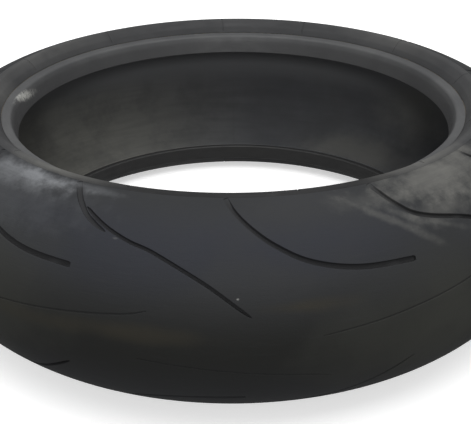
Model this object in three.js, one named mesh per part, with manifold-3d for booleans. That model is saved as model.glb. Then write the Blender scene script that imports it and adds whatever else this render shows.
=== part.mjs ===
// Motorcycle rear tyre, 190/55 R17, radial sport type, unmounted and lying on its side.
// Units are millimetres. The wheel axis is Z and the origin is the wheel centre.
// A place in the cross-section is [r, z]: the distance from the wheel axis and the height.

import * as THREE from 'three';
import { mergeVertices } from 'three/addons/utils/BufferGeometryUtils.js';
import Module from 'manifold-3d';

const wasm = await Module();
wasm.setup();

// Driving dimensions
const CROWN_RADIUS = 319;         // wheel axis to the top of the tread
const SECTION_RADIUS = 96.2;      // radius of the tread arc in the cross-section
const SECTION_CENTRE = CROWN_RADIUS - SECTION_RADIUS;
const HALF_WIDTH = 94.4;          // flat band at the widest place of each sidewall
const FLANGE_HEIGHT = 80.6;       // flat face of each bead that meets the rim flange
const TOE_RADIUS = 213;           // smallest radius of the bead
const HEEL_RADIUS = 217.2;        // bead seat of a 17-inch rim, at the heel

const AROUND = 28;                // steps around the wheel, four to each pitch of the tread
const TREAD_EDGE = 76;            // degrees along the section arc, from the crown
const BELT_EDGE = 50;
const COMPOUND_EDGE = 25;         // where the centre tread meets the shoulder tread
const SECTION_STEP = 25;          // degrees between two points of an inner layer
const JOINT_ANGLE = 0.2;          // degrees, the gap between two pieces end to end

const TREAD_AT_CROWN = 6.2;       // thickness of the tread rubber
const TREAD_AT_EDGE = 3.6;

// Layers under the tread, as depths below its inner face: [outer face, inner face]
const BASE_LAYER = [0.3, 1.1];
const ZERO_DEGREE_LAYER = [1.4, 2.3];
const CROSSED_LAYER = [2.6, 3.5];
const OUTER_PLY_LAYER = [3.8, 4.7];
const INNER_PLY_LAYER = [5.05, 5.95];
const LINER_LAYER = [6.35, 7.3];
const EDGE_STRIP_LAYER = [0.4, 3.4];

// Tread pattern: seven pitches, and the lower half is half a pitch round from the upper one
const PITCHES = 7;
const PITCH_ANGLE = 360 / PITCHES;
const GROOVE_SHARE = 0.75;        // depth of a groove, as a share of the tread thickness
const SIPE_SHARE = 0.6;
const CUTTER_ABOVE = 4;           // how far a cutter stands above the tread

const radians = THREE.MathUtils.degToRad;

// ---------------------------------------------------------------- cross-section

function treadThickness(angle) {
  const share = Math.min(Math.abs(angle) / TREAD_EDGE, 1);
  return TREAD_AT_CROWN - (TREAD_AT_CROWN - TREAD_AT_EDGE) * share * share;
}

function onArc(angle, radius) {
  return [SECTION_CENTRE + radius * Math.cos(radians(angle)), radius * Math.sin(radians(angle))];
}

function underTread(angle, depth) {
  return onArc(angle, SECTION_RADIUS - treadThickness(angle) - depth);
}

// Angles from one place of the arc to another, with the whole steps that lie well between them
function arcAngles(from, to, step) {
  const angles = [from];
  for (let angle = Math.ceil((from + step / 4) / step) * step; angle < to - step / 4; angle += step) {
    angles.push(angle);
  }
  angles.push(to);
  return angles;
}

// A layer under the tread, from one angle to another
function arcLayer(from, to, [outerDepth, innerDepth]) {
  const angles = arcAngles(from, to, SECTION_STEP);
  const outer = angles.map((angle) => underTread(angle, outerDepth));
  const inner = angles.map((angle) => underTread(angle, innerDepth));
  return [...outer, ...inner.reverse()];
}

// A stretch of the tread rubber, with a finer outer face
function treadOutline(from, to) {
  const outer = arcAngles(from, to, SECTION_STEP / 2).map((angle) => onArc(angle, SECTION_RADIUS));
  const inner = arcAngles(from, to, SECTION_STEP).map((angle) => underTread(angle, 0));
  return [...outer, ...inner.reverse()];
}

const mirrored = (outline) => outline.map(([r, z]) => [r, -z]);

// A layer from bead to bead: the arc under the tread, and both legs down to the beads
function beadToBeadLayer([outerDepth, innerDepth], outerLeg, innerLeg) {
  const angles = arcAngles(-TREAD_EDGE, TREAD_EDGE, SECTION_STEP);
  const outer = angles.map((angle) => underTread(angle, outerDepth));
  const inner = angles.map((angle) => underTread(angle, innerDepth));
  const outerFace = [...mirrored(outerLeg).reverse(), ...outer, ...outerLeg];
  const innerFace = [...mirrored(innerLeg).reverse(), ...inner, ...innerLeg];
  return [...outerFace, ...innerFace.reverse()];
}

// A strip of even thickness along a line, with mitred corners: the two faces of the strip
function faces(line, thickness) {
  const directions = line.slice(1).map(([r, z], i) => {
    const length = Math.hypot(r - line[i][0], z - line[i][1]);
    return [(r - line[i][0]) / length, (z - line[i][1]) / length];
  });
  const shifted = (distance) => line.map(([r, z], i) => {
    const before = directions[Math.max(i - 1, 0)];
    const after = directions[Math.min(i, directions.length - 1)];
    const sum = [before[0] + after[0], before[1] + after[1]];
    const scale = 2 * distance / (sum[0] * sum[0] + sum[1] * sum[1]);
    return [r + sum[1] * scale, z - sum[0] * scale];
  });
  return [shifted(thickness / 2), shifted(-thickness / 2)];
}

// ---------------------------------------------------------------- outlines of the upper bead

// Middle of the inner ply from the sidewall, under the bead core and up to its turned-up end
const INNER_PLY_LEG = [
  [236.0, 80.6], [228.2, 70.6], [223.6, 65.0], [216.9, 64.2], [218.9, 75.7], [226.7, 77.35], [235.0, 83.9],
];
// Middle of the outer ply from the sidewall down to the heel
const OUTER_PLY_LEG = [[236.5, 86.9], [227.0, 79.2], [219.9, 77.2]];

const PLY_THICKNESS = 0.9;

const BEAD_CORE = [[219.65, 67.0], [222.9, 67.4], [224.9, 69.9], [224.9, 74.6], [221.5, 73.7]];

const BEAD_WRAP = [
  [225.0, 67.95], [223.2, 65.8], [217.9, 65.1], [219.6, 75.0], [225.0, 76.15],
  [225.0, 75.2], [220.9, 74.0], [219.2, 66.6], [223.0, 67.0], [225.0, 69.4],
];

const BEAD_FILLER = [[225.4, 69.2], [226.3, 69.8], [235.3, 81.3], [239.5, 84.5], [225.4, 75.4]];

const LINER_OUTER_LEG = [[236.5, 79.8], [228.9, 70.0], [223.9, 63.9]];
const LINER_INNER_LEG = [[237.2, 79.1], [229.7, 69.4], [224.7, 63.3]];

const RIM_STRIP = [
  [TOE_RADIUS, 61.6], [HEEL_RADIUS, 77.2], [219.4, FLANGE_HEIGHT], [223.4, FLANGE_HEIGHT], [224.6, 82.2],
  [225.8, 79.8], [218.6, 77.7], [217.8, 76.4], [215.7, 63.2], [223.0, 64.1],
  [223.4, 62.2], [214.6, 60.2],
];

const SIDEWALL_START = TREAD_EDGE + JOINT_ANGLE;
const SIDEWALL = [
  onArc(SIDEWALL_START, SECTION_RADIUS), [244.4, HALF_WIDTH], [236.8, HALF_WIDTH], [231.0, 91.2],
  [224.9, 82.8], [226.2, 80.0], [236.0, 88.1],
  onArc(SIDEWALL_START, SECTION_RADIUS - TREAD_AT_EDGE - EDGE_STRIP_LAYER[1]),
];

// ---------------------------------------------------------------- solids

function signedArea(outline) {
  let sum = 0;
  outline.forEach(([r, z], i) => {
    const [nextR, nextZ] = outline[(i + 1) % outline.length];
    sum += r * nextZ - nextR * z;
  });
  return sum / 2;
}

// A closed outline turned about the wheel axis
function ring(outline) {
  const ordered = signedArea(outline) > 0 ? outline : [...outline].reverse();
  const profile = [...ordered, ordered[0]].map(([r, z]) => new THREE.Vector2(r, z));
  const geometry = new THREE.LatheGeometry(profile, AROUND);
  geometry.rotateX(Math.PI / 2);
  return welded(geometry);
}

function welded(geometry) {
  geometry.deleteAttribute('normal');
  geometry.deleteAttribute('uv');
  return mergeVertices(geometry, 1e-3);
}

function toSolid(geometry) {
  return new wasm.Manifold(new wasm.Mesh({
    numProp: 3,
    vertProperties: new Float32Array(geometry.attributes.position.array),
    triVerts: new Uint32Array(geometry.index.array),
  }));
}

function toGeometry(solid) {
  const mesh = solid.getMesh();
  const geometry = new THREE.BufferGeometry();
  geometry.setAttribute('position', new THREE.BufferAttribute(mesh.vertProperties, 3));
  geometry.setIndex(new THREE.BufferAttribute(mesh.triVerts, 1));
  return geometry;
}

// ---------------------------------------------------------------- tread pattern

// Each groove follows a curve through [degrees round the wheel, degrees along the arc].
// Its width in millimetres runs from the first value at the start to the second at the end.
const LONG_GROOVE = {
  route: [[-30.4, 78], [-25, 60], [-14, 46.6], [-4.5, 33], [2.2, 17.4]],
  width: [5, 2.6], share: GROOVE_SHARE, steps: 5,
};
const SHORT_GROOVE = {
  route: [[-1.6, 78], [2.5, 58], [10, 41.4], [18, 34.8], [27, 33.2]],
  width: [4.2, 5.6], share: GROOVE_SHARE, steps: 5,
};
const CENTRE_GROOVE = {
  route: [[12.5, 6.4], [26, 11.4], [39.2, 19]],
  width: [2.4, 2.4], share: SIPE_SHARE, steps: 3,
};

// A cutter is a box bent along the groove's curve and laid on the tread's arc
function grooveCutter({ route, width, share, steps }, side, turn) {
  const flat = route.map(([round, across]) => new THREE.Vector2(
    radians(round) * CROWN_RADIUS,
    radians(across) * SECTION_RADIUS * side,
  ));
  const curve = new THREE.SplineCurve(flat);
  const geometry = new THREE.BoxGeometry(1, 1, 1, steps, 1, 1);
  const place = geometry.attributes.position;
  for (let i = 0; i < place.count; i += 1) {
    const way = place.getX(i) + 0.5;
    const middle = curve.getPoint(way);
    const along = curve.getTangent(way);
    const offset = place.getY(i) * THREE.MathUtils.lerp(width[0], width[1], way);
    const round = (middle.x - along.y * offset) / CROWN_RADIUS + radians(turn);
    const across = THREE.MathUtils.radToDeg((middle.y + along.x * offset) / SECTION_RADIUS);
    const floor = SECTION_RADIUS - treadThickness(across) * share;
    const [r, z] = onArc(across, place.getZ(i) > 0 ? SECTION_RADIUS + CUTTER_ABOVE : floor);
    place.setXYZ(i, r * Math.sin(round), -r * Math.cos(round), z);
  }
  return toSolid(welded(geometry));
}

function cutPattern(geometry) {
  let tread = toSolid(geometry);
  for (let pitch = 0; pitch < PITCHES; pitch += 1) {
    for (const groove of [LONG_GROOVE, SHORT_GROOVE, CENTRE_GROOVE]) {
      const turn = pitch * PITCH_ANGLE;
      tread = tread.subtract(grooveCutter(groove, 1, turn));
      tread = tread.subtract(grooveCutter(groove, -1, turn + PITCH_ANGLE / 2));
    }
  }
  return toGeometry(tread);
}

// ---------------------------------------------------------------- assembly

const rubber = (colour, roughness) => new THREE.MeshStandardMaterial({ color: colour, roughness, metalness: 0 });

const treadRubber = rubber(0x2b2c2e, 0.85);
const sidewallRubber = rubber(0x343536, 0.8);
const rimStripRubber = rubber(0x3b3c3c, 0.7);
const linerRubber = rubber(0x232422, 0.6);
const baseRubber = rubber(0x1d1d1e, 0.9);
const fillerRubber = rubber(0x2a2724, 0.8);
const plyCord = rubber(0x6b5a3a, 0.9);
const beltCord = rubber(0x9a8442, 0.9);
const wrapFabric = rubber(0x4f4a42, 0.95);
const beadSteel = new THREE.MeshStandardMaterial({ color: 0xa9895b, roughness: 0.4, metalness: 1 });

const tyre = new THREE.Group();

function addPiece(name, geometry, material) {
  const piece = new THREE.Mesh(geometry, material);
  piece.name = name;
  tyre.add(piece);
}

function addPair(name, outline, material) {
  addPiece(`${name}_upper`, ring(outline), material);
  addPiece(`${name}_lower`, ring(mirrored(outline)), material);
}

function addTread() {
  const centre = ring(treadOutline(-COMPOUND_EDGE, COMPOUND_EDGE));
  addPiece('tread_centre', cutPattern(centre), treadRubber);
  const shoulder = treadOutline(COMPOUND_EDGE + JOINT_ANGLE, TREAD_EDGE);
  addPiece('tread_shoulder_upper', cutPattern(ring(shoulder)), treadRubber);
  addPiece('tread_shoulder_lower', cutPattern(ring(mirrored(shoulder))), treadRubber);
  addPiece('tread_base', ring(arcLayer(-BELT_EDGE, BELT_EDGE, BASE_LAYER)), baseRubber);
}

function addBelts() {
  addPiece('zero_degree_belt', ring(arcLayer(-BELT_EDGE, BELT_EDGE, ZERO_DEGREE_LAYER)), beltCord);
  addPiece('crossed_belt', ring(arcLayer(-BELT_EDGE, BELT_EDGE, CROSSED_LAYER)), beltCord);
  addPair('belt_edge_strip', arcLayer(BELT_EDGE + JOINT_ANGLE, TREAD_EDGE, EDGE_STRIP_LAYER), baseRubber);
}

function addCarcass() {
  const outerPly = faces(OUTER_PLY_LEG, PLY_THICKNESS);
  addPiece('carcass_ply_outer', ring(beadToBeadLayer(OUTER_PLY_LAYER, outerPly[0], outerPly[1])), plyCord);
  const innerPly = faces(INNER_PLY_LEG, PLY_THICKNESS);
  addPiece('carcass_ply_inner', ring(beadToBeadLayer(INNER_PLY_LAYER, innerPly[0], innerPly[1])), plyCord);
  addPiece('inner_liner', ring(beadToBeadLayer(LINER_LAYER, LINER_OUTER_LEG, LINER_INNER_LEG)), linerRubber);
}

function addBeads() {
  addPair('bead_core', BEAD_CORE, beadSteel);
  addPair('bead_wrap', BEAD_WRAP, wrapFabric);
  addPair('bead_filler', BEAD_FILLER, fillerRubber);
  addPair('rim_strip', RIM_STRIP, rimStripRubber);
}

addTread();
addBelts();
addCarcass();
addBeads();
addPair('sidewall', SIDEWALL, sidewallRubber);

export default tyre;
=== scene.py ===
"""Looks of a used 190/55 R17 sport motorcycle tyre that lies on its side, off its rim.

Everything is in metres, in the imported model's frame: the wheel axis is Z and the origin is the
wheel centre. A place in the cross-section is (r, z), the distance from the wheel axis and the
height. "Around" is an angle round the wheel, from the front of the tyre towards +X, and "across"
is an angle along the tread's arc, from the crown towards +Z.
"""

import logging
import math
from collections.abc import Callable, Sequence
from dataclasses import dataclass, field
from enum import Enum
from typing import Protocol

import bmesh
import bpy
from mathutils import Matrix, Vector


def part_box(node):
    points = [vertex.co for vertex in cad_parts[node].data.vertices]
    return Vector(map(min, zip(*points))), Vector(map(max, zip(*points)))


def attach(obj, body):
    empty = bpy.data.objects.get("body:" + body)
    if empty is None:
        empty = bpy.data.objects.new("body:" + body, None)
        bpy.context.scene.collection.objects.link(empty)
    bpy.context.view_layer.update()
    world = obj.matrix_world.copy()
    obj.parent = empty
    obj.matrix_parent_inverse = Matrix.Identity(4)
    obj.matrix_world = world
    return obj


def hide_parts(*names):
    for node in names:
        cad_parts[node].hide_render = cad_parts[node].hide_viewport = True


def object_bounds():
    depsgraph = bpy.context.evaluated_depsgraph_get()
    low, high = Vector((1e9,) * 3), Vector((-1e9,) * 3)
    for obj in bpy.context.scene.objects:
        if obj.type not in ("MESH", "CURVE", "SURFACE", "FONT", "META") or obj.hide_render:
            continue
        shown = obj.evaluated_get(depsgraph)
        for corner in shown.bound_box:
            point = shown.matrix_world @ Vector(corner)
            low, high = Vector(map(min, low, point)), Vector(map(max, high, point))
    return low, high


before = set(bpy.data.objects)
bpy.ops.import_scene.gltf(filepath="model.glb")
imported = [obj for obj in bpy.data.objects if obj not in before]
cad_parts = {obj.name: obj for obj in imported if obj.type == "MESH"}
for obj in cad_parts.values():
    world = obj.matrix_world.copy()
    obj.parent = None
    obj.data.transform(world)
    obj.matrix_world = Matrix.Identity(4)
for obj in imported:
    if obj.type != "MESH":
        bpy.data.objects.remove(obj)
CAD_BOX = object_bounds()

LOG = logging.getLogger("tyre")
MM = 0.001
BODY = "root"
AROUND_STEPS = 350
TREAD_EDGE = math.radians(76.0)
# painted shade: the darker colour of the lower bead's copy of the bead finish
PAINTED_SHADE_BEAD = (0.029, 0.029, 0.029)
SMOOTH_LIMIT = math.radians(50.0)
SPUN_WELD = 0.001 * MM
CARVED_WELD = 0.002 * MM
MOST_REACH = 0.48  # of an edge, that a rounded corner may use
TINY = 1e-9  # metres, so that no length is divided by zero

Point = tuple[float, float]
Colour = tuple[float, float, float]
Socket = bpy.types.NodeSocket
Value = float | bpy.types.NodeSocket


class Side(Enum):
    """The half of the tyre that a piece belongs to."""

    UPPER = 1
    LOWER = -1

    @property
    def label(self) -> str:
        """The half's word in a node's name."""
        return self.name.lower()


# ------------------------------------------------------------------ outlines


@dataclass(frozen=True)
class Corner:
    """A corner of an outline, in millimetres, with the radius that rounds it."""

    r: float
    z: float
    radius: float = 0.0

    @property
    def place(self) -> Vector:
        """The corner as a vector in metres."""
        return Vector((self.r, self.z)) * MM


def rounded(corners: Sequence[Corner], closed: bool = True, steps: int = 6) -> list[Point]:
    """Rounds an outline's corners with arcs.

    Args:
        corners: The outline's corners in order.
        closed: Whether the last corner joins the first.
        steps: How many steps each arc has.

    Returns:
        The points of the rounded outline, in metres.
    """
    points: list[Point] = []
    count = len(corners)
    for index, corner in enumerate(corners):
        at_end = not closed and index in (0, count - 1)
        if corner.radius <= 0 or at_end:
            points.append(tuple(corner.place))
            continue
        here = corner.place
        back = corners[index - 1].place - here
        ahead = corners[(index + 1) % count].place - here
        half = back.angle(ahead) / 2
        room = MOST_REACH * min(back.length, ahead.length)
        reach = min(corner.radius * MM / math.tan(half), room)
        radius = reach * math.tan(half)
        centre = here + (back.normalized() + ahead.normalized()).normalized() * (radius / math.sin(half))
        start = here + back.normalized() * reach - centre
        turn = start.angle_signed(here + ahead.normalized() * reach - centre)
        for step in range(steps + 1):
            spoke = Matrix.Rotation(-turn * step / steps, 2) @ start
            points.append(tuple(centre + spoke))
    return points


def shifted(points: Sequence[Point], distance: float) -> list[Point]:
    """Moves an open line sideways, to its right.

    Args:
        points: The line's points.
        distance: How far it moves, in metres.

    Returns:
        The moved line's points.
    """
    moved: list[Point] = []
    for index, (r, z) in enumerate(points):
        before = Vector(points[max(index - 1, 0)])
        after = Vector(points[min(index + 1, len(points) - 1)])
        along = (after - before).normalized()
        moved.append((r + along.y * distance, z - along.x * distance))
    return moved


def mirrored(points: Sequence[Point], side: Side) -> list[Point]:
    """Puts an outline of the upper half on the side asked for."""
    return [(r, z * side.value) for r, z in points]


@dataclass(frozen=True)
class TyreSection:
    """The tyre's cross-section: a round tread arc, thinner at its edges."""

    crown_radius: float
    half_width: float
    arc_radius: float
    crown_thickness: float = 6.2 * MM
    edge_thickness: float = 3.6 * MM

    @classmethod
    def from_frame(cls) -> "TyreSection":
        """Reads the section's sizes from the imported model's boxes.

        Returns:
            The cross-section.
        """
        high = CAD_BOX[1]
        shoulder_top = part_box("tread_shoulder_upper")[1].z
        return cls(high[0], high[2], shoulder_top / math.sin(TREAD_EDGE))

    @property
    def centre(self) -> float:
        """The distance from the wheel axis to the centre of the tread's arc."""
        return self.crown_radius - self.arc_radius

    def at(self, across: float, radius: float) -> Point:
        """A place at an angle along the arc and a distance from the arc's centre."""
        return self.centre + radius * math.cos(across), radius * math.sin(across)

    def thickness(self, across: float) -> float:
        """The thickness of the tread rubber at an angle along the arc."""
        share = min(abs(across) / TREAD_EDGE, 1.0) ** 2
        return self.crown_thickness + (self.edge_thickness - self.crown_thickness) * share

    def arc(self, low: float, high: float, inset: float, steps: int) -> list[Point]:
        """Points along the arc from one angle to another, at an even depth under its surface."""
        angles = [low + (high - low) * step / steps for step in range(steps + 1)]
        return [self.at(angle, self.arc_radius - inset) for angle in angles]


# ------------------------------------------------------------------ meshes


def spun(outline: Sequence[Point], steps: int = AROUND_STEPS) -> bmesh.types.BMesh:
    """Turns a closed outline about the wheel axis.

    Args:
        outline: The outline's points, in metres.
        steps: The steps around the wheel.

    Returns:
        The closed ring.
    """
    ring = bmesh.new()
    verts = [ring.verts.new((0.0, -r, z)) for r, z in outline]
    edges = [ring.edges.new((verts[i - 1], vert)) for i, vert in enumerate(verts)]
    bmesh.ops.spin(
        ring, geom=verts + edges, cent=(0, 0, 0), axis=(0, 0, 1),
        angle=math.tau, steps=steps, use_merge=True,
    )
    bmesh.ops.remove_doubles(ring, verts=ring.verts, dist=SPUN_WELD)
    bmesh.ops.recalc_face_normals(ring, faces=ring.faces)
    return ring


def smooth(shape: bmesh.types.BMesh) -> None:
    """Shades a shape smooth but for its sharp edges.

    Args:
        shape: The shape.
    """
    for face in shape.faces:
        face.smooth = True
    for edge in shape.edges:
        edge.smooth = len(edge.link_faces) == 2 and edge.calc_face_angle() < SMOOTH_LIMIT


def to_object(name: str, shape: bmesh.types.BMesh) -> bpy.types.Object:
    """Makes a scene object from a bmesh, smooth but for its sharp edges.

    Args:
        name: The object's name.
        shape: The shape, which is freed.

    Returns:
        The new object, at the origin.
    """
    smooth(shape)
    mesh = bpy.data.meshes.new(name)
    shape.to_mesh(mesh)
    shape.free()
    piece = bpy.data.objects.new(name, mesh)
    bpy.context.scene.collection.objects.link(piece)
    return piece


@dataclass(frozen=True)
class Station:
    """One cross-section of a groove: where it is, which way it faces and how big it is there.

    The shares say how much of the depth or of the half width a rounding or the floor takes, and the
    overcut is how far the cutter stands past the lip and above the surface.
    """

    place: Vector
    aside: Vector
    outward: Vector
    half_width: float
    depth: float
    lip: float
    lip_share: float = 0.45
    corner_width_share: float = 0.45
    corner_depth_share: float = 0.35
    floor_share: float = 0.94
    overcut: Point = (2.0 * MM, 0.8 * MM)
    bevel: float = 0.29

    def ring(self) -> list[Vector]:
        """Works out the cutter's section: a flat floor, round corners, steep walls and rounded lips.

        Returns:
            The section's corners in order.
        """
        half, depth, bevel = self.half_width, self.depth, self.bevel
        lip = min(self.lip, depth * self.lip_share)
        corner = min(self.corner_width_share * half, self.corner_depth_share * depth)
        foot = self.floor_share * half
        side = [
            (half + lip + self.overcut[0], self.overcut[1]),
            (half + bevel * lip, -bevel * lip),
            (half, -lip),
            (foot, corner - depth),
            (foot - bevel * corner, bevel * corner - depth),
            (foot - corner, -depth),
        ]
        section = [(-x, y) for x, y in side] + side[::-1]
        return [self.place + self.aside * x + self.outward * y for x, y in section]


def cutter(stations: Sequence[Station]) -> bpy.types.Mesh:
    """Makes one groove's cutter: its section extruded from station to station, with closed ends.

    Args:
        stations: The groove's cross-sections in order.

    Returns:
        The closed cutter, as a mesh.
    """
    shape = bmesh.new()
    ring = [shape.verts.new(place) for place in stations[0].ring()]
    edges = [shape.edges.new((ring[i - 1], vert)) for i, vert in enumerate(ring)]
    ends = [edges]
    for station in stations[1:]:
        made = bmesh.ops.extrude_edge_only(shape, edges=edges)["geom"]
        fresh = {item for item in made if isinstance(item, bmesh.types.BMVert)}
        edges = [e for e in made if isinstance(e, bmesh.types.BMEdge) and fresh.issuperset(e.verts)]
        ring = [next(e.other_vert(v) for e in v.link_edges if e.other_vert(v) in fresh) for v in ring]
        for vert, place in zip(ring, station.ring()):
            vert.co = place
    ends.append(edges)
    for rim in ends:
        bmesh.ops.contextual_create(shape, geom=rim)
    bmesh.ops.recalc_face_normals(shape, faces=shape.faces)
    mesh = bpy.data.meshes.new("cutter")
    shape.to_mesh(mesh)
    shape.free()
    return mesh


def put_on_side(mesh: bpy.types.Mesh, side: Side, turn: Matrix) -> bpy.types.Mesh:
    """Mirrors a cutter of the upper half to the side asked for, and then turns it.

    Args:
        mesh: The cutter.
        side: The half that it goes to.
        turn: Its turn about the wheel axis.

    Returns:
        The same cutter.
    """
    mesh.transform(turn @ Matrix.Diagonal((1, 1, side.value, 1)))
    if side is Side.LOWER:
        mesh.flip_normals()
    return mesh


def gathered(cutters: Sequence[bpy.types.Mesh]) -> bmesh.types.BMesh:
    """Gathers cutters into one bmesh.

    Args:
        cutters: The cutters, which are freed.

    Returns:
        All the cutters as one shape.
    """
    shape = bmesh.new()
    for mesh in cutters:
        shape.from_mesh(mesh)
        bpy.data.meshes.remove(mesh)
    return shape


def carve(piece: bpy.types.Object, cutters: bmesh.types.BMesh) -> None:
    """Cuts grooves into a piece and keeps the carved mesh.

    Args:
        piece: The piece to carve.
        cutters: The closed cutters, which are freed.
    """
    tool = to_object("cutters", cutters)
    carving = piece.modifiers.new("grooves", "BOOLEAN")
    carving.operation = "DIFFERENCE"
    carving.solver = "MANIFOLD"
    carving.object = tool
    depsgraph = bpy.context.evaluated_depsgraph_get()
    carved = bmesh.new()
    carved.from_object(piece, depsgraph)
    piece.modifiers.remove(carving)
    bmesh.ops.remove_doubles(carved, verts=carved.verts, dist=CARVED_WELD)
    smooth(carved)
    carved.to_mesh(piece.data)
    carved.free()
    bpy.data.objects.remove(tool)


def finish_piece(
    piece: bpy.types.Object, material: bpy.types.Material, nodes: Sequence[str]
) -> None:
    """Dresses a new piece and lets it stand for the CAD nodes that it replaces.

    Args:
        piece: The new piece.
        material: The finished material.
        nodes: The CAD nodes that it replaces.
    """
    piece.data.materials.clear()
    piece.data.materials.append(material)
    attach(piece, BODY)
    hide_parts(*nodes)
    LOG.info("%s: %d faces", piece.name, len(piece.data.polygons))


# ------------------------------------------------------------------ tread


class GrooveEnd(Enum):
    """How far from its end a groove starts to close: at once, or running out thin."""

    BLUNT = 1.6 * MM
    TAPERED = 14.0 * MM
    FADING = 24.0 * MM


@dataclass(frozen=True)
class Groove:
    """One groove of the tread pattern, along a smooth curve on the tread.

    The route's points are (around, across) in degrees. Each wear bar is a share of the length. The
    open share, of the distance between stations, keeps the ends from closing to nothing.
    """

    route: tuple[Point, ...]
    start_width: float
    end_width: float
    depth_share: float
    from_edge: bool = True
    end: GrooveEnd = GrooveEnd.BLUNT
    wear_bars: tuple[float, ...] = ()
    spacing: float = 2.0 * MM
    lip: float = 0.55 * MM
    bar_height: float = 0.9 * MM
    bar_length: float = 4.0 * MM
    bar_slope: float = 1.6
    run_out: float = 13.0 * MM
    start_share: float = 0.12
    least_depth: float = 0.5 * MM
    curve_steps: int = 40
    fewest_steps: int = 4
    open_share: float = 0.2

    def curve(self, section: TyreSection) -> list[Vector]:
        """Follows the route with a smooth curve, on the tread laid flat.

        Args:
            section: The tyre's cross-section.

        Returns:
            Evenly spaced points in metres, along the crown and along the arc.
        """
        flat = [
            Vector((math.radians(around) * section.crown_radius, math.radians(across) * section.arc_radius))
            for around, across in self.route
        ]
        padded = [2 * flat[0] - flat[1], *flat, 2 * flat[-1] - flat[-2]]
        fine: list[Vector] = []
        for a, b, c, d in zip(padded, padded[1:], padded[2:], padded[3:]):
            for step in range(self.curve_steps):
                t = step / self.curve_steps
                fine.append(0.5 * (
                    2 * b + (c - a) * t + (2 * a - 5 * b + 4 * c - d) * t * t
                    + (3 * b - a - 3 * c + d) * t ** 3
                ))
        fine.append(flat[-1])
        lengths = [0.0]
        for p, q in zip(fine, fine[1:]):
            lengths.append(lengths[-1] + (q - p).length)
        count = max(round(lengths[-1] / self.spacing), self.fewest_steps)
        even: list[Vector] = []
        place = 0
        for step in range(count + 1):
            target = lengths[-1] * step / count
            while place < len(fine) - 2 and lengths[place + 1] < target:
                place += 1
            share = (target - lengths[place]) / max(lengths[place + 1] - lengths[place], TINY)
            even.append(fine[place].lerp(fine[place + 1], min(share, 1.0)))
        return even

    def stations(self, section: TyreSection) -> list[Station]:
        """Works out the groove's cross-sections on the upper half of the tread.

        Args:
            section: The tyre's cross-section.

        Returns:
            The stations from the groove's start to its end.
        """
        points = self.curve(section)
        step = (points[1] - points[0]).length
        length = step * (len(points) - 1)
        ends = self.end_distances(step)
        stations: list[Station] = []
        for index, point in enumerate(points):
            along = (points[min(index + 1, len(points) - 1)] - points[max(index - 1, 0)]).normalized()
            share = index / (len(points) - 1)
            from_start, to_end = index * step, length - index * step
            closing = ends(to_end) * (1.0 if self.from_edge else ends(from_start))
            width = self.start_width + (self.end_width - self.start_width) * share
            across = point.y / section.arc_radius
            full = section.thickness(across) * self.depth_share
            run_out = min(from_start / self.run_out, 1.0) if self.from_edge else 1.0
            depth = full * min(max(run_out, self.start_share), math.sqrt(closing))
            depth = max(depth - self.bar(share * length, length), self.least_depth)
            stations.append(self.station(section, point, along, width * closing / 2, depth))
        return stations

    def end_distances(self, step: float) -> Callable[[float], float]:
        """Works out how the groove closes near an end, as a quarter of an ellipse.

        Args:
            step: The distance between stations.

        Returns:
            A function from the distance to the end to the share of the width that is kept.
        """
        reach, start = self.end.value, self.open_share * step

        def kept(distance: float) -> float:
            """The share of the width at a distance from the end."""
            left = 1 - min((distance + start) / reach, 1.0)
            return math.sqrt(1 - left * left)

        return kept

    def bar(self, distance: float, length: float) -> float:
        """Works out how high a wear bar stands in the groove.

        Args:
            distance: The distance along the groove.
            length: The groove's whole length.

        Returns:
            The height, which is zero away from the bars.
        """
        height = 0.0
        for share in self.wear_bars:
            away = abs(distance - share * length) / self.bar_length
            height = max(height, self.bar_height * min(max(self.bar_slope - away, 0.0), 1.0))
        return height

    def station(
        self, section: TyreSection, point: Vector, along: Vector, half_width: float, depth: float
    ) -> Station:
        """Lays one cross-section on the tread.

        Args:
            section: The tyre's cross-section.
            point: The place on the tread laid flat.
            along: The groove's direction there.
            half_width: Half of the groove's width.
            depth: The groove's depth.

        Returns:
            The station on the tread's arc.
        """
        around, across = point.x / section.crown_radius, point.y / section.arc_radius
        r, z = section.at(across, section.arc_radius)
        ahead = Vector((math.cos(around), math.sin(around), 0.0))
        spoke = Vector((math.sin(around), -math.cos(around), 0.0))
        outward = spoke * math.cos(across) + Vector((0, 0, math.sin(across)))
        up = -spoke * math.sin(across) + Vector((0, 0, math.cos(across)))
        aside = (ahead * -along.y + up * along.x).normalized()
        return Station(spoke * r + Vector((0, 0, z)), aside, outward, half_width, depth, self.lip)


LONG_GROOVE = Groove(
    route=(
        (-26.2, 75.6), (-25.4, 70), (-24.2, 63), (-22, 55),
        (-18.8, 50), (-11.6, 42.4), (-5, 31.4), (1.2, 17.6),
    ),
    start_width=4.8 * MM, end_width=2.6 * MM, depth_share=0.65, end=GrooveEnd.TAPERED, wear_bars=(0.5,),
)
FORK_GROOVE = Groove(
    route=((-29.8, 75.6), (-28.4, 70), (-26.8, 64.4), (-24.6, 58.4), (-22.4, 54.2), (-20.2, 51.2)),
    start_width=4.8 * MM, end_width=3.0 * MM, depth_share=0.45, end=GrooveEnd.FADING, lip=0.9 * MM,
)
FORK_TAIL_GROOVE = Groove(
    route=(
        (-24.9, 61.8), (-23.1, 58.2), (-20, 53.3), (-16.2, 48.6), (-11.6, 44), (-4.1, 31.8), (2.2, 17.2),
    ),
    start_width=3.0 * MM, end_width=2.6 * MM, depth_share=0.6, from_edge=False, end=GrooveEnd.TAPERED,
)
SHORT_GROOVE = Groove(
    route=((-1.5, 75.6), (0, 67), (2.5, 58), (6, 49), (11, 40.4), (18, 35), (27.2, 33.2)),
    start_width=3.6 * MM, end_width=4.4 * MM, depth_share=0.65, wear_bars=(0.9,),
)
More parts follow.
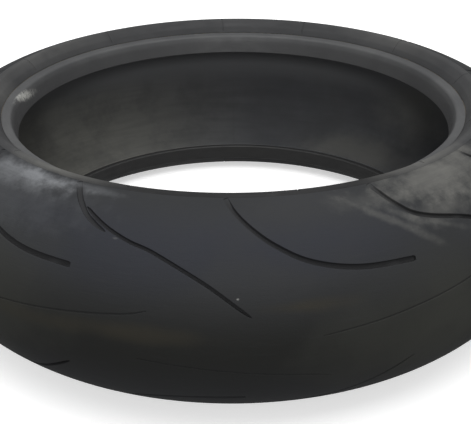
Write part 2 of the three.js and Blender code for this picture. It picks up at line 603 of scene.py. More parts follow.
CROWN_GROOVE = Groove(
    route=((12.0, 6.2), (20, 9), (26, 11.4), (36, 15.6), (39.4, 18.4)),
    start_width=1.3 * MM, end_width=1.6 * MM, depth_share=0.14, from_edge=False,
    end=GrooveEnd.FADING, lip=0.45 * MM,
)


@dataclass
class Tread:
    """The tread rubber: one round band with its groove pattern."""

    section: TyreSection
    pitches: int = 7
    arc_steps: int = 76
    inner_steps: int = 20
    plain: tuple[Groove, ...] = (LONG_GROOVE, SHORT_GROOVE, CROWN_GROOVE)
    forked: tuple[Groove, ...] = (FORK_GROOVE, FORK_TAIL_GROOVE, SHORT_GROOVE, CROWN_GROOVE)

    def build(self) -> bpy.types.Object:
        """Makes the band and cuts the pattern into it.

        Returns:
            The carved tread.
        """
        section = self.section
        outer = section.arc(-TREAD_EDGE, TREAD_EDGE, 0.0, self.arc_steps)
        angles = [TREAD_EDGE * (1 - 2 * step / self.inner_steps) for step in range(self.inner_steps + 1)]
        inner = [section.at(angle, section.arc_radius - section.thickness(angle)) for angle in angles]
        band = to_object("tread", spun(outer + inner))
        carve(band, self.cutters())
        band.modifiers.new("flat_faces_lead", "WEIGHTED_NORMAL").keep_sharp = True
        return band

    def cutters(self) -> bmesh.types.BMesh:
        """Makes every groove's cutter, with the lower half mirrored and half a pitch on.

        Returns:
            All the cutters.
        """
        cutters: list[bpy.types.Mesh] = []
        for side in Side:
            for pitch in range(self.pitches):
                shared = self.forked if side is Side.UPPER and pitch == 0 else self.plain
                shift = 0.0 if side is Side.UPPER else 0.5
                turn = Matrix.Rotation(math.tau * (pitch + shift) / self.pitches, 4, "Z")
                for groove in shared:
                    cutters.append(put_on_side(cutter(groove.stations(self.section)), side, turn))
        return gathered(cutters)


# ------------------------------------------------------------------ sidewalls, beads and liner


@dataclass
class Sidewall:
    """The rubber between the tread's edge and the bead, on one side.

    The crest, valley and foot are places in millimetres, and the marks are angles in degrees.
    """

    section: TyreSection
    side: Side
    edge_gap: float = math.radians(0.06)
    root_depth: float = 6.6 * MM
    crest_inner: float = 238.4
    valley: Corner = Corner(231.2, 87.6, 9.0)
    foot: Point = (227.2, 81.9)
    marks: tuple[float, ...] = (12, 40, 70, 98, 128, 159, 183, 218, 248, 278, 310, 340)
    mark_width: float = 1.3 * MM
    mark_depth: float = 0.6 * MM
    mark_lip: float = 0.2 * MM

    def build(self) -> bpy.types.Object:
        """Makes the sidewall, widest on a narrow flat band.

        Returns:
            The sidewall.
        """
        section = self.section
        top = section.half_width / MM
        edge = TREAD_EDGE + self.edge_gap
        edge_r, edge_z = (value / MM for value in section.at(edge, section.arc_radius))
        root_r, root_z = (value / MM for value in section.at(edge, section.arc_radius - self.root_depth))
        corners = (
            Corner(edge_r, edge_z, 0.12),
            Corner(243.6, top, 3.0),
            Corner(self.crest_inner, top, 10.0),
            self.valley,
            Corner(*self.foot, 0.2),
            Corner(227.6, 81.6, 0.2),
            Corner(235.5, 89.3, 2.0),
            Corner(root_r, root_z, 0.5),
        )
        outline = mirrored(rounded(corners), self.side)
        wall = to_object(f"sidewall_{self.side.label}_skin", spun(outline))
        carve(wall, gathered([self.mark(math.radians(angle)) for angle in self.marks]))
        return wall

    def mark(self, angle: float) -> bpy.types.Mesh:
        """Makes the cutter of one fine mould mark, which runs across the flat band and down to the foot.

        Args:
            angle: Where the mark lies around the wheel.

        Returns:
            The cutter.
        """
        top = self.section.half_width / MM
        path = rounded(
            (Corner(243.0, top), Corner(self.crest_inner, top, 10.0), self.valley, Corner(228.7, 84.0)),
            closed=False,
        )
        spoke = Vector((math.sin(angle), -math.cos(angle), 0.0))
        aside = Vector((math.cos(angle), math.sin(angle), 0.0))
        stations: list[Station] = []
        for index, (r, z) in enumerate(path):
            (r0, z0), (r1, z1) = path[max(index - 1, 0)], path[min(index + 1, len(path) - 1)]
            outward = (spoke * (z1 - z0) + Vector((0, 0, r0 - r1))).normalized()
            place = spoke * r + Vector((0, 0, z))
            half = self.mark_width / 2
            stations.append(Station(place, aside, outward, half, self.mark_depth, self.mark_lip))
        return put_on_side(cutter(stations), self.side, Matrix.Identity(4))


@dataclass
class RimStrip:
    """The bead's outer rubber: a rounded ridge, the tapered seat and the toe, on one side."""

    side: Side

    def build(self) -> bpy.types.Object:
        """Makes the strip that wraps the bead.

        Returns:
            The rim strip.
        """
        corners = (
            Corner(227.1, 81.2, 0.1),
            Corner(226.9, 81.7, 0.15),
            Corner(223.4, 81.0, 5.0),
            Corner(218.4, 80.6, 4.0),
            Corner(216.3, 74.6, 8.0),
            Corner(212.7, 62.0, 0.8),
            Corner(213.9, 61.0, 1.0),
            Corner(223.5, 63.2, 0.2),
            Corner(222.8, 64.0, 0.2),
            Corner(214.9, 63.2, 0.3),
            Corner(217.0, 76.6, 1.0),
            Corner(218.4, 78.4, 0.5),
            Corner(225.4, 80.0, 0.3),
            Corner(226.7, 81.0, 0.1),
        )
        outline = mirrored(rounded(corners), self.side)
        return to_object(f"rim_strip_{self.side.label}_skin", spun(outline))


@dataclass
class InnerLiner:
    """The smooth airtight lining, from bead to bead."""

    section: TyreSection
    arc_radius: float = 79.6 * MM
    thickness: float = 0.9 * MM
    arc_edge: float = math.radians(62.0)
    arc_steps: int = 40

    def build(self) -> bpy.types.Object:
        """Makes the lining as one thin shell.

        Returns:
            The inner liner.
        """
        middle = [
            self.section.at(self.arc_edge * (2 * step / self.arc_steps - 1), self.arc_radius)
            for step in range(self.arc_steps + 1)
        ]
        r, z = (value / MM for value in middle[-1])
        leg = rounded(
            (Corner(r, z), Corner(242.5, 80.0, 14.0), Corner(229.6, 68.8, 10.0), Corner(224.1, 62.9)),
            closed=False,
        )
        face = mirrored(leg, Side.LOWER)[::-1] + middle[1:-1] + leg
        outline = face + shifted(face, self.thickness)[::-1]
        return to_object("inner_liner_skin", spun(outline))


# ------------------------------------------------------------------ material nodes


class Shade:
    """Builds the nodes of one procedural material."""

    def __init__(self, name: str) -> None:
        """Starts a material with a principled shader and Object coordinates.

        Args:
            name: The material's name.
        """
        self.material = bpy.data.materials.new(name)
        self.material.use_nodes = True
        self.tree = self.material.node_tree
        self.tree.nodes.clear()
        self.shader = self.node("ShaderNodeBsdfPrincipled")
        output = self.node("ShaderNodeOutputMaterial")
        self.join(self.shader.outputs["BSDF"], output.inputs["Surface"])
        self.place = self.node("ShaderNodeTexCoord").outputs["Object"]

    def node(self, kind: str, **settings: object) -> bpy.types.Node:
        """Adds a node.

        Args:
            kind: The node's type.
            settings: The properties that it gets.

        Returns:
            The node.
        """
        made = self.tree.nodes.new(kind)
        for key, value in settings.items():
            setattr(made, key, value)
        return made

    def join(self, source: Socket, target: Socket) -> None:
        """Links two sockets."""
        self.tree.links.new(source, target)

    def feed(self, target: Socket, value: Value | Colour) -> None:
        """Gives an input a link or a constant.

        Args:
            target: The input.
            value: The socket that it is linked to, or its own value.
        """
        if isinstance(value, bpy.types.NodeSocket):
            self.join(value, target)
        elif isinstance(value, tuple) and target.type == "RGBA":
            target.default_value = (*value, 1.0)
        else:
            target.default_value = value

    def math(self, operation: str, *values: Value, clamp: bool = False) -> Socket:
        """Adds a math node.

        Args:
            operation: The node's operation.
            values: Its inputs in order.
            clamp: Whether the result is kept between 0 and 1.

        Returns:
            The node's output.
        """
        made = self.node("ShaderNodeMath", operation=operation, use_clamp=clamp)
        for target, value in zip(made.inputs, values):
            self.feed(target, value)
        return made.outputs[0]

    def remap(self, value: Value, low: float, high: float, start: float = 0.0, end: float = 1.0) -> Socket:
        """Maps a range smoothly onto another one.

        Args:
            value: The input.
            low: The input that gives start.
            high: The input that gives end.
            start: The first result.
            end: The last result.

        Returns:
            The mapped value.
        """
        made = self.node("ShaderNodeMapRange", interpolation_type="SMOOTHSTEP")
        for key, number in (("Value", value), ("From Min", low), ("From Max", high)):
            self.feed(made.inputs[key], number)
        made.inputs["To Min"].default_value = start
        made.inputs["To Max"].default_value = end
        return made.outputs["Result"]

    def combine(self, x: Value, y: Value, z: Value) -> Socket:
        """Makes a vector from three values.

        Args:
            x: The first value.
            y: The second value.
            z: The third value.

        Returns:
            The vector.
        """
        made = self.node("ShaderNodeCombineXYZ")
        for target, value in zip(made.inputs, (x, y, z)):
            self.feed(target, value)
        return made.outputs[0]

    def noise(
        self, scale: float, detail: float = 4.0, roughness: float = 0.55,
        vector: Socket | None = None, distortion: float = 0.0,
    ) -> Socket:
        """Adds a noise texture.

        Args:
            scale: The noise's scale, in waves per metre.
            detail: How many finer layers it has.
            roughness: How strong the finer layers are.
            vector: Its coordinates, or None for Object coordinates.
            distortion: How far it is warped.

        Returns:
            The noise's value, from 0 to 1.
        """
        made = self.node("ShaderNodeTexNoise")
        self.feed(made.inputs["Vector"], vector or self.place)
        for key, number in (
            ("Scale", scale), ("Detail", detail), ("Roughness", roughness), ("Distortion", distortion),
        ):
            made.inputs[key].default_value = number
        return made.outputs["Fac"]

    def mix(self, factor: Value, first: Socket | Colour, second: Socket | Colour) -> Socket:
        """Mixes two colours.

        Args:
            factor: The share of the second colour.
            first: The first colour.
            second: The second colour.

        Returns:
            The mixed colour.
        """
        made = self.node("ShaderNodeMix", data_type="RGBA")
        colours = [socket for socket in made.inputs if socket.type == "RGBA"]
        self.feed(made.inputs["Factor"], factor)
        self.feed(colours[0], first)
        self.feed(colours[1], second)
        return next(socket for socket in made.outputs if socket.type == "RGBA")

    def bump(
        self, height: Socket, distance: float, strength: float = 1.0, under: Socket | None = None
    ) -> Socket:
        """Adds a bump.

        Args:
            height: The height pattern, from 0 to 1.
            distance: What a height of 1 means, in metres.
            strength: The bump's strength.
            under: A bump that this one lies on.

        Returns:
            The bumped normal.
        """
        made = self.node("ShaderNodeBump")
        made.inputs["Strength"].default_value = strength
        made.inputs["Distance"].default_value = distance
        self.join(height, made.inputs["Height"])
        if under is not None:
            self.join(under, made.inputs["Normal"])
        return made.outputs["Normal"]

    def finished(
        self, colour: Socket | Colour, roughness: Value, normal: Socket | None = None,
        **settings: Value | Colour,
    ) -> bpy.types.Material:
        """Gives the shader its inputs.

        Args:
            colour: The base colour.
            roughness: The roughness.
            normal: The bumped normal, or None.
            settings: Other inputs by name, with underscores for spaces.

        Returns:
            The finished material.
        """
        inputs = self.shader.inputs
        self.feed(inputs["Base Color"], colour)
        self.feed(inputs["Roughness"], roughness)
        if normal is not None:
            self.join(normal, inputs["Normal"])
        for name, value in settings.items():
            self.feed(inputs[name.replace("_", " ")], value)
        return self.material


@dataclass(frozen=True)
class TyrePlace:
    """Where a point of the tyre is, as sockets: angles in radians and distances in metres."""

    around: Socket
    across: Socket
    height: Socket
    depth: Socket
    streaks: Socket


def tyre_place(shade: Shade, section: TyreSection, stretch: float = 9.0) -> TyrePlace:
    """Works out a point's place on the tyre from its Object coordinates.

    Args:
        shade: The material.
        section: The tyre's cross-section.
        stretch: How many times longer the streaks are than they are wide.

    Returns:
        The place's sockets.
    """
    parts = shade.node("ShaderNodeSeparateXYZ")
    shade.join(shade.place, parts.inputs[0])
    x, y, z = parts.outputs
    squares = shade.math("ADD", shade.math("MULTIPLY", x, x), shade.math("MULTIPLY", y, y))
    radius = shade.math("SQRT", squares)
    around = shade.math("ARCTAN2", x, shade.math("MULTIPLY", y, -1.0))
    reach = shade.math("SUBTRACT", radius, section.centre)
    across = shade.math("ARCTAN2", z, reach)
    squares = shade.math("ADD", shade.math("MULTIPLY", reach, reach), shade.math("MULTIPLY", z, z))
    depth = shade.math("SUBTRACT", section.arc_radius, shade.math("SQRT", squares))
    ring = section.crown_radius / stretch
    streaks = shade.combine(
        shade.math("MULTIPLY", shade.math("SINE", around), ring),
        shade.math("MULTIPLY", shade.math("COSINE", around), ring),
        shade.math("MULTIPLY", across, section.arc_radius),
    )
    return TyrePlace(around, across, z, depth, streaks)


@dataclass(frozen=True)
class Patch:
    """A dusty or dirty area on the tyre: its centre and its half sizes, in degrees."""

    around: float
    across: float
    length: float
    width: float
    strength: float
    slant: float = 0.0
    raggedness: float = 1.6
    edge: tuple[float, float] = (0.9, 1.9)

    def mask(self, shade: Shade, place: TyrePlace, ragged: Socket) -> Socket:
        """Works out how strongly the patch covers a point.

        Args:
            shade: The material.
            place: The point's place.
            ragged: The noise that makes the patch's edge uneven.

        Returns:
            The cover, from 0 to the patch's strength.
        """
        u = shade.math("SUBTRACT", place.around, math.radians(self.around))
        v = shade.math("SUBTRACT", place.across, math.radians(self.across))
        turn, length, width = (math.radians(value) for value in (self.slant, self.length, self.width))
        along = shade.math("ADD", shade.math("MULTIPLY", u, math.cos(turn) / length),
                           shade.math("MULTIPLY", v, math.sin(turn) / length))
        aside = shade.math("SUBTRACT", shade.math("MULTIPLY", v, math.cos(turn) / width),
                           shade.math("MULTIPLY", u, math.sin(turn) / width))
        squares = shade.math(
            "ADD", shade.math("MULTIPLY", along, along), shade.math("MULTIPLY", aside, aside)
        )
        unevenness = shade.math("MULTIPLY", ragged, self.raggedness)
        reach = shade.math("ADD", shade.math("SQRT", squares), unevenness)
        return shade.remap(reach, *self.edge, self.strength, 0.0)


# ------------------------------------------------------------------ finishes


class Finish(Protocol):
    """A finish that can build its material."""

    def material(self) -> bpy.types.Material:
        """Builds the material."""


@dataclass(frozen=True)
class Stain:
    """A colour that lies on the rubber in patches."""

    colour: Colour
    patches: tuple[Patch, ...]

    def over(
        self, base: Socket, shade: Shade, place: TyrePlace, ragged: Socket, share: Socket | None = None
    ) -> Socket:
        """Lays the stain over a colour.

        Args:
            base: The colour under it.
            shade: The material.
            place: The point's place.
            ragged: The noise that makes the patches' edges uneven.
            share: How much of the stain shows, or None for all of it.

        Returns:
            The stained colour.
        """
        cover: Value = 0.0
        for patch in self.patches:
            cover = shade.math("ADD", cover, patch.mask(shade, place, ragged), clamp=True)
        if share is not None:
            cover = shade.math("MULTIPLY", cover, share)
        return shade.mix(cover, base, self.colour)


@dataclass(frozen=True)
class TreadFinish:
    """Worn tread rubber: bluish at mid width, dusty on the shoulders, brown at the crown and darker there,
    partly as blacker worn rubber and partly as painted shade.
    """

    section: TyreSection
    rubber: Colour = (0.020, 0.021, 0.0225)
    worn: Colour = (0.028, 0.029, 0.031)
    groove: Colour = (0.021, 0.021, 0.022)
    # partly painted shade: the crown's darker colour is blacker worn rubber and also painted shade on the
    # front tread
    crown: Colour = (0.0152, 0.0156, 0.0145)
    worn_shaded_crown_edge: float = math.radians(38)
    groove_depths: tuple[float, float] = (0.4 * MM, 1.2 * MM)
    blue: Stain = Stain((0.0225, 0.0245, 0.033), (
        Patch(-14, 46, 40, 26, 0.65), Patch(12, 50, 20, 22, 0.5),
    ))
    green: Stain = Stain((0.0405, 0.0415, 0.036), (
        Patch(37, -6, 32, 44, 0.9), Patch(-48, 10, 26, 46, 0.9),
    ))
    dirt: Stain = Stain((0.034, 0.030, 0.021), (
        Patch(-14, 7, 16, 7, 0.6), Patch(9, 21, 9, 5, 0.6), Patch(-32, 4, 12, 6, 0.4),
        Patch(105, 6, 30, 8, 0.5), Patch(-160, 3, 26, 9, 0.5),
    ))
    dust: Stain = Stain((0.178, 0.175, 0.160), (
        Patch(41, 68, 19, 18, 0.55), Patch(36, 52, 10, 10, 0.25), Patch(25.5, 53, 22, 1.5, 0.2, slant=-67),
        Patch(28.5, 53, 15, 1.4, 0.16, slant=-64), Patch(34, 45, 10, 1.5, 0.2, slant=-58),
        Patch(24, 66, 10, 8, 0.16), Patch(130, 66, 22, 10, 0.3), Patch(-120, 62, 26, 9, 0.25),
        Patch(175, 70, 16, 6, 0.25), Patch(80, -64, 24, 10, 0.3), Patch(-60, -60, 20, 9, 0.25),
        Patch(-160, -66, 26, 8, 0.3),
    ))
    haze: Stain = Stain((0.175, 0.181, 0.191), (
        Patch(-44, 68, 15, 10, 0.5), Patch(-37, 71, 11, 6, 0.6), Patch(-27, 73, 9, 3, 0.25, slant=-12),
        Patch(-46, 58, 26, 22, 0.14),
    ))
    fleck: Stain = Stain((0.35, 0.35, 0.33), (
        Patch(0.4, 25.6, 0.25, 0.6, 0.5), Patch(-18.3, 49, 0.6, 0.7, 0.1),
    ))

    def material(self) -> bpy.types.Material:
        """Builds the tread's material.

        Returns:
            The material.
        """
        shade = Shade("tread_rubber")
        place = tyre_place(shade, self.section)
        blotch = shade.noise(scale=11.0, detail=5.0)
        ragged = shade.noise(scale=55.0, detail=7.0, roughness=0.7)
        scuff = shade.noise(scale=260.0, detail=5.0, roughness=0.7, vector=place.streaks)
        grain = shade.noise(scale=1500.0, detail=3.0)
        colour = shade.mix(shade.remap(blotch, 0.35, 0.7), self.rubber, self.worn)
        # partly painted shade: the crown is darkened both as worn rubber and as painted shade
        crown = shade.remap(shade.math("ABSOLUTE", place.across), 0.0, self.worn_shaded_crown_edge, 1.0, 0.0)
        colour = shade.mix(crown, colour, self.crown)
        for stain in (self.blue, self.green, self.dirt):
            colour = stain.over(colour, shade, place, blotch, shade.remap(blotch, 0.2, 0.6, 0.5, 1.0))
        colour = shade.mix(shade.remap(scuff, 0.55, 0.8, 0.0, 0.4), colour, self.worn)
        cloudy = shade.noise(scale=30.0, detail=4.0, roughness=0.5)
        powder = shade.noise(scale=60.0, detail=6.0, roughness=0.62)
        rubbed = shade.remap(scuff, 0.3, 0.65, 0.8, 1.0)
        dusting = shade.math("MULTIPLY", rubbed, shade.remap(cloudy, 0.35, 0.62, 0.78, 1.0))
        for stain in (self.dust, self.haze):
            colour = stain.over(colour, shade, place, powder, dusting)
        colour = self.fleck.over(colour, shade, place, grain)
        inside = shade.remap(place.depth, *self.groove_depths, 0.0, 0.75)
        colour = shade.mix(inside, colour, self.groove)
        normal = shade.bump(ragged, 0.35 * MM, 0.5)
        normal = shade.bump(scuff, 0.3 * MM, 0.6, normal)
        normal = shade.bump(grain, 0.12 * MM, 0.6, normal)
        roughness = shade.remap(blotch, 0.3, 0.7, 0.72, 0.86)
        return shade.finished(colour, roughness, normal, Specular_IOR_Level=0.2)


@dataclass(frozen=True)
class SidewallFinish:
    """Moulded sidewall rubber with fine rings and a little grey bloom."""

    section: TyreSection
    rubber: Colour = (0.029, 0.0295, 0.031)
    bloom: Colour = (0.038, 0.0385, 0.040)
    grime: Stain = Stain((0.008, 0.008, 0.0085), (Patch(2, 85, 52, 60, 0.95),))
    dust: Stain = Stain((0.17, 0.168, 0.155), (
        Patch(-90, 84, 12, 14, 0.25), Patch(80, 86, 20, 12, 0.12), Patch(41, 82, 20, 10, 0.5),
        Patch(-38, 80, 17, 7, 0.5), Patch(130, 80, 24, 8, 0.2),
        Patch(-120, 80, 28, 8, 0.2), Patch(80, -80, 24, 9, 0.25), Patch(-160, -80, 26, 8, 0.25),
    ))

    def material(self) -> bpy.types.Material:
        """Builds the sidewall's material.

        Returns:
            The material.
        """
        shade = Shade("sidewall_rubber")
        place = tyre_place(shade, self.section)
        blotch = shade.noise(scale=14.0, detail=5.0)
        grain = shade.noise(scale=1300.0, detail=3.0)
        streak = shade.noise(scale=300.0, detail=4.0, vector=place.streaks)
        cloudy = shade.noise(scale=30.0, detail=6.0, roughness=0.6)
        colour = shade.mix(shade.remap(blotch, 0.35, 0.7), self.rubber, self.bloom)
        colour = shade.mix(shade.remap(streak, 0.5, 0.8, 0.0, 0.4), colour, self.bloom)
        colour = self.grime.over(colour, shade, place, blotch)
        colour = self.dust.over(colour, shade, place, cloudy, shade.remap(cloudy, 0.32, 0.62, 0.3, 1.0))
        normal = shade.bump(grain, 0.1 * MM, 0.5, shade.bump(streak, 0.2 * MM, 0.5))
        roughness = shade.remap(streak, 0.3, 0.7, 0.66, 0.8)
        return shade.finished(colour, roughness, normal, Specular_IOR_Level=0.3)


@dataclass(frozen=True)
class BeadFinish:
    """Bead rubber rubbed smooth by the rim, with one chalky scuff and a seat painted darker as painted
    shade.
    """

    section: TyreSection
    rubber: Colour = (0.050, 0.051, 0.053)
    rubbed: Colour = (0.067, 0.068, 0.069)
    # painted shade: the darker colour of the steep seat under the ridge
    seat: Colour = (0.034, 0.034, 0.035)
    seat_shade_heights: tuple[float, float] = (79.0 * MM, 71.0 * MM)
    chalk: Stain = Stain((0.34, 0.34, 0.32), (Patch(-97, 94.3, 8.5, 1.9, 1.0, slant=-14),))

    def material(self) -> bpy.types.Material:
        """Builds the bead's material.

        Returns:
            The material.
        """
        shade = Shade("bead_rubber")
        place = tyre_place(shade, self.section)
        blotch = shade.noise(scale=22.0, detail=5.0)
        streak = shade.noise(scale=320.0, detail=5.0, vector=place.streaks)
        ragged = shade.noise(scale=240.0, detail=6.0, roughness=0.75)
        colour = shade.mix(shade.remap(blotch, 0.35, 0.68), self.rubber, self.rubbed)
        colour = shade.mix(shade.remap(streak, 0.45, 0.75, 0.0, 0.5), colour, self.rubbed)
        # painted shade: the seat is painted darker the further it lies below the ridge, towards the toe
        seat = shade.remap(shade.math("ABSOLUTE", place.height), *self.seat_shade_heights, 0.0, 0.6)
        colour = shade.mix(seat, colour, self.seat)
        colour = self.chalk.over(colour, shade, place, ragged, shade.remap(ragged, 0.60, 0.50))
        normal = shade.bump(ragged, 0.15 * MM, 0.4, shade.bump(streak, 0.2 * MM, 0.6))
        roughness = shade.remap(streak, 0.3, 0.7, 0.5, 0.68)
        return shade.finished(colour, roughness, normal, Specular_IOR_Level=0.38)


@dataclass(frozen=True)
class LinerFinish:
    """Smooth butyl lining with a splice, moulding lines and grey smudges, painted lighter towards the top
    as painted light.
    """

    section: TyreSection
    rubber: Colour = (0.058, 0.060, 0.065)
    smudge: Colour = (0.078, 0.080, 0.085)
    olive: Colour = (0.185, 0.183, 0.162)
    # painted light: the lighter colour that the lining takes towards its top, standing in for light that
    # falls there
    upper: Colour = (0.125, 0.127, 0.132)
    low: Colour = (0.052, 0.053, 0.054)
    splice: Colour = (0.060, 0.060, 0.060)
    splice_edge: tuple[float, float] = (0.0015, 0.006)
    olive_heights: tuple[float, float] = (35.0 * MM, -55.0 * MM)
    painted_light_heights: tuple[float, float] = (-12.0 * MM, 22.0 * MM)
    pale: Stain = Stain((0.115, 0.114, 0.106), (
        Patch(143, -62, 22, 24, 0.7), Patch(132, -8, 13, 36, 0.6),
    ))

    def material(self) -> bpy.types.Material:
        """Builds the liner's material.

        Returns:
            The material.
        """
        shade = Shade("liner_rubber")
        place = tyre_place(shade, self.section)
        blotch = shade.noise(scale=8.0, detail=4.0)
        streak = shade.noise(scale=130.0, detail=5.0, vector=place.streaks)
        grain = shade.noise(scale=700.0, detail=3.0)
        mottle = shade.noise(scale=28.0, detail=6.0, roughness=0.65)
        aside = shade.math("SINE", place.around)
        colour = shade.mix(shade.remap(blotch, 0.35, 0.7), self.rubber, self.smudge)
        to_low = shade.remap(place.height, *self.olive_heights, 0.15, 0.75)
        olive = shade.math("MULTIPLY", shade.remap(aside, 0.2, -0.8), to_low)
        colour = shade.mix(olive, colour, self.olive)
        seam = shade.remap(shade.math("ABSOLUTE", aside), *self.splice_edge, 0.25, 0.0)
        colour = shade.mix(shade.math("MULTIPLY", seam, shade.remap(blotch, 0.4, 0.6)), colour, self.splice)
        colour = shade.mix(shade.remap(streak, 0.38, 0.66, 0.0, 0.18), colour, self.low)
        colour = shade.mix(shade.remap(mottle, 0.4, 0.68, 0.0, 0.4), colour, self.low)
        # painted light: the lining is painted lighter the higher it is
        painted_light_share = shade.remap(place.height, *self.painted_light_heights, 0.0, 0.85)
        colour = self.pale.over(shade.mix(painted_light_share, colour, self.upper), shade, place, mottle)
        normal = shade.bump(grain, 0.08 * MM, 0.5, shade.bump(streak, 0.15 * MM, 0.5))
        roughness = shade.remap(streak, 0.3, 0.7, 0.62, 0.74)
        return shade.finished(colour, roughness, normal, Specular_IOR_Level=0.25)


@dataclass(frozen=True)
class CordFinish:
    """A cord-and-rubber layer: parallel cords under a thin rubber skin."""

    name: str
    cord: Colour
    skin: Colour
    slant: float
    cord_scale: float = 260.0

    def material(self) -> bpy.types.Material:
        """Builds the layer's material, with cords at the slant in degrees from the wheel's plane.

        Returns:
            The material.
        """
        shade = Shade(self.name)
        turn = math.radians(self.slant)
        mapping = shade.node("ShaderNodeMapping")
        mapping.inputs["Rotation"].default_value = (turn, 0.0, turn)
        shade.join(shade.place, mapping.inputs["Vector"])
        cords = shade.node("ShaderNodeTexWave", wave_type="BANDS", bands_direction="Z")
        cords.inputs["Scale"].default_value = self.cord_scale
        shade.join(mapping.outputs[0], cords.inputs["Vector"])
        pattern = cords.outputs["Fac"]
        wear = shade.noise(scale=60.0)
        shown = shade.math("MULTIPLY", pattern, shade.remap(wear, 0.3, 0.6, 0.4, 1.0))
        colour = shade.mix(shown, self.skin, self.cord)
        return shade.finished(colour, 0.8, shade.bump(pattern, 0.3 * MM))


@dataclass(frozen=True)
class PlainRubberFinish:
    """Unseen rubber between the layers, slightly mottled."""

    name: str
    rubber: Colour
    light: Colour

    def material(self) -> bpy.types.Material:
        """Builds the material.

        Returns:
            The material.
        """
        shade = Shade(self.name)
        mottle = shade.noise(scale=40.0, detail=5.0)
        colour = shade.mix(mottle, self.rubber, self.light)
        normal = shade.bump(shade.noise(scale=500.0), 0.1 * MM)
        return shade.finished(colour, shade.remap(mottle, 0.3, 0.7, 0.6, 0.8), normal)


@dataclass(frozen=True)
class BeadWireFinish:
    """Bronze-coated bead wire, wound side by side."""

    wire: Colour = (0.42, 0.28, 0.14)
    gap: Colour = (0.06, 0.04, 0.025)
    wire_scale: float = 320.0

    def material(self) -> bpy.types.Material:
        """Builds the wire bundle's material.

        Returns:
            The material.
        """
        shade = Shade("bead_wire")
        turns = shade.node("ShaderNodeTexWave", wave_type="RINGS", rings_direction="Z")
        turns.inputs["Scale"].default_value = self.wire_scale
        shade.join(shade.place, turns.inputs["Vector"])
        pattern = turns.outputs["Fac"]
        colour = shade.mix(pattern, self.gap, self.wire)
        roughness = shade.remap(shade.noise(scale=50.0), 0.3, 0.7, 0.3, 0.5)
        return shade.finished(colour, roughness, shade.bump(pattern, 0.4 * MM), Metallic=1.0)


@dataclass
class HiddenLayers:
    """The layers inside the tyre, which keep their CAD shapes and get their own finishes."""

    finishes: dict[str, Finish] = field(default_factory=lambda: {
        "tread_base": PlainRubberFinish("cushion_rubber", (0.018, 0.018, 0.019), (0.03, 0.03, 0.031)),
        "belt_edge_strip": PlainRubberFinish("edge_rubber", (0.02, 0.02, 0.021), (0.034, 0.033, 0.032)),
        "bead_filler": PlainRubberFinish("filler_rubber", (0.03, 0.026, 0.023), (0.05, 0.044, 0.038)),
        "zero_degree_belt": CordFinish("belt_cord", (0.55, 0.40, 0.10), (0.10, 0.075, 0.03), 0.0),
        "crossed_belt": CordFinish("crossed_cord", (0.50, 0.37, 0.11), (0.09, 0.07, 0.03), 24.0),
        "carcass_ply": CordFinish("ply_cord", (0.33, 0.26, 0.15), (0.07, 0.055, 0.035), 85.0),
        "bead_wrap": CordFinish("wrap_weave", (0.20, 0.17, 0.14), (0.05, 0.043, 0.036), 45.0),
        "bead_core": BeadWireFinish(),
    })

    def dress(self) -> None:
        """Gives each hidden node the finish of its kind."""
        for kind, finish in self.finishes.items():
            material = finish.material()
            for name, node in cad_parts.items():
                if name.startswith(kind):
                    node.data.materials.clear()
                    node.data.materials.append(material)
                    LOG.info("%s: %s", name, material.name)


# ------------------------------------------------------------------ studio


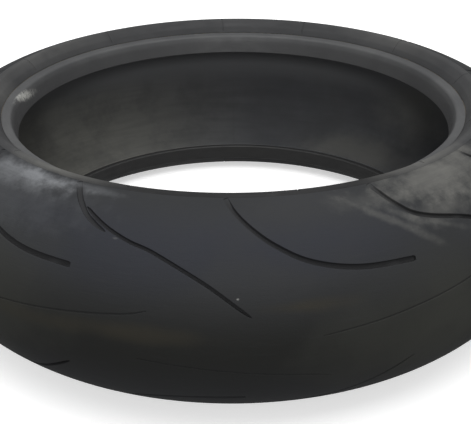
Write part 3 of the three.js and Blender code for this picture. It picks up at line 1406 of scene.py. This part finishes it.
@dataclass
class Studio:
    """A pale floor, soft light and the camera."""

    floor_colour: Colour = (0.86, 0.86, 0.86)
    floor_glow: float = 0.5
    floor_size: float = 12.0
    above: Colour = (0.50, 0.50, 0.50)
    below: Colour = (0.34, 0.34, 0.34)
    blend_heights: tuple[float, float] = (0.42, 0.62)
    key_size: float = 2.4
    key_power: float = 50.0
    key_place: tuple[float, float, float] = (0.1, -0.3, 2.2)
    front_size: float = 0.32
    front_power: float = 15.0
    front_place: tuple[float, float, float] = (0.06, -2.3, 1.08)
    lens: float = 73.5
    camera_back: float = 0.9064
    camera_height: float = 0.4205
    look_down: float = 27.21
    look_right: float = 0.09
    roll: float = -0.38
    sensor_width: float = 36.0
    nearest: float = 0.05

    def build(self) -> None:
        """Builds the floor, the lights and the camera."""
        self.floor()
        self.light()
        self.camera()

    def floor(self) -> None:
        """Lays the floor under the tyre's lowest point."""
        shape = bmesh.new()
        bmesh.ops.create_grid(shape, x_segments=1, y_segments=1, size=self.floor_size)
        bmesh.ops.translate(shape, verts=shape.verts, vec=(0, 0, CAD_BOX[0][2]))
        floor = to_object("floor", shape)
        shade = Shade("floor_paint")
        paint = shade.finished(
            self.floor_colour, 0.9, Emission_Color=(1.0, 1.0, 1.0), Emission_Strength=self.floor_glow
        )
        floor.data.materials.append(paint)
        floor.visible_diffuse = False
        floor.visible_glossy = False

    def light(self) -> None:
        """Adds a large light overhead, a small one in front and a surround that is brighter above."""
        scene = bpy.context.scene
        scene.view_settings.view_transform = "Standard"
        world = bpy.data.worlds.new("surround")
        world.use_nodes = True
        nodes, links = world.node_tree.nodes, world.node_tree.links
        parts = nodes.new("ShaderNodeSeparateXYZ")
        links.new(nodes.new("ShaderNodeTexCoord").outputs["Generated"], parts.inputs[0])
        blend = nodes.new("ShaderNodeValToRGB")
        stops = zip(blend.color_ramp.elements, self.blend_heights, (self.below, self.above))
        for stop, position, colour in stops:
            stop.position = position
            stop.color = (*colour, 1.0)
        height = nodes.new("ShaderNodeMapRange")
        height.inputs["From Min"].default_value = -1.0
        links.new(parts.outputs["Z"], height.inputs["Value"])
        links.new(height.outputs["Result"], blend.inputs["Fac"])
        links.new(blend.outputs["Color"], nodes["Background"].inputs["Color"])
        scene.world = world
        self.lamp("key", self.key_size, self.key_power, self.key_place)
        self.lamp("front", self.front_size, self.front_power, self.front_place)

    @staticmethod
    def lamp(name: str, size: float, power: float, place: tuple[float, float, float]) -> None:
        """Adds a square light that faces the tyre.

        Args:
            name: The light's name.
            size: Its side, in metres.
            power: Its power, in watts.
            place: Where it stands.
        """
        light = bpy.data.lights.new(name, "AREA")
        light.size = size
        light.energy = power
        lamp = bpy.data.objects.new(name, light)
        lamp.location = place
        lamp.rotation_euler = (-Vector(place)).to_track_quat("-Z", "Y").to_euler()
        bpy.context.scene.collection.objects.link(lamp)

    def camera(self) -> None:
        """Places the camera in front of the tyre, looking down at it."""
        eye = bpy.data.cameras.new("camera")
        eye.lens = self.lens
        eye.sensor_width = self.sensor_width
        eye.clip_start = self.nearest
        place = bpy.data.objects.new("camera", eye)
        turn = (
            Matrix.Rotation(math.radians(-self.look_right), 4, "Z")
            @ Matrix.Rotation(math.radians(90.0 - self.look_down), 4, "X")
            @ Matrix.Rotation(math.radians(self.roll), 4, "Z")
        )
        place.matrix_world = Matrix.Translation((0.0, -self.camera_back, self.camera_height)) @ turn
        bpy.context.scene.collection.objects.link(place)
        bpy.context.scene.camera = place


def main() -> None:
    """Builds the tyre's visible pieces, dresses the hidden ones and sets the studio up."""
    logging.basicConfig(level=logging.INFO, format="%(name)s %(message)s")
    section = TyreSection.from_frame()
    Studio().build()
    finish_piece(
        Tread(section).build(), TreadFinish(section).material(),
        ("tread_centre", "tread_shoulder_upper", "tread_shoulder_lower"),
    )
    sidewall_material = SidewallFinish(section).material()
    bead_materials = {
        Side.UPPER: BeadFinish(section).material(),
        # painted shade: the lower bead gets a darkened copy of the upper bead's finish
        Side.LOWER: BeadFinish(section, rubber=PAINTED_SHADE_BEAD, rubbed=PAINTED_SHADE_BEAD, seat=PAINTED_SHADE_BEAD).material(),
    }
    for side in Side:
        wall = Sidewall(section, side).build()
        finish_piece(wall, sidewall_material, (f"sidewall_{side.label}",))
        strip = RimStrip(side).build()
        finish_piece(strip, bead_materials[side], (f"rim_strip_{side.label}",))
    liner = InnerLiner(section).build()
    finish_piece(liner, LinerFinish(section).material(), ("inner_liner",))
    HiddenLayers().dress()


if __name__ == "__main__":
    main()
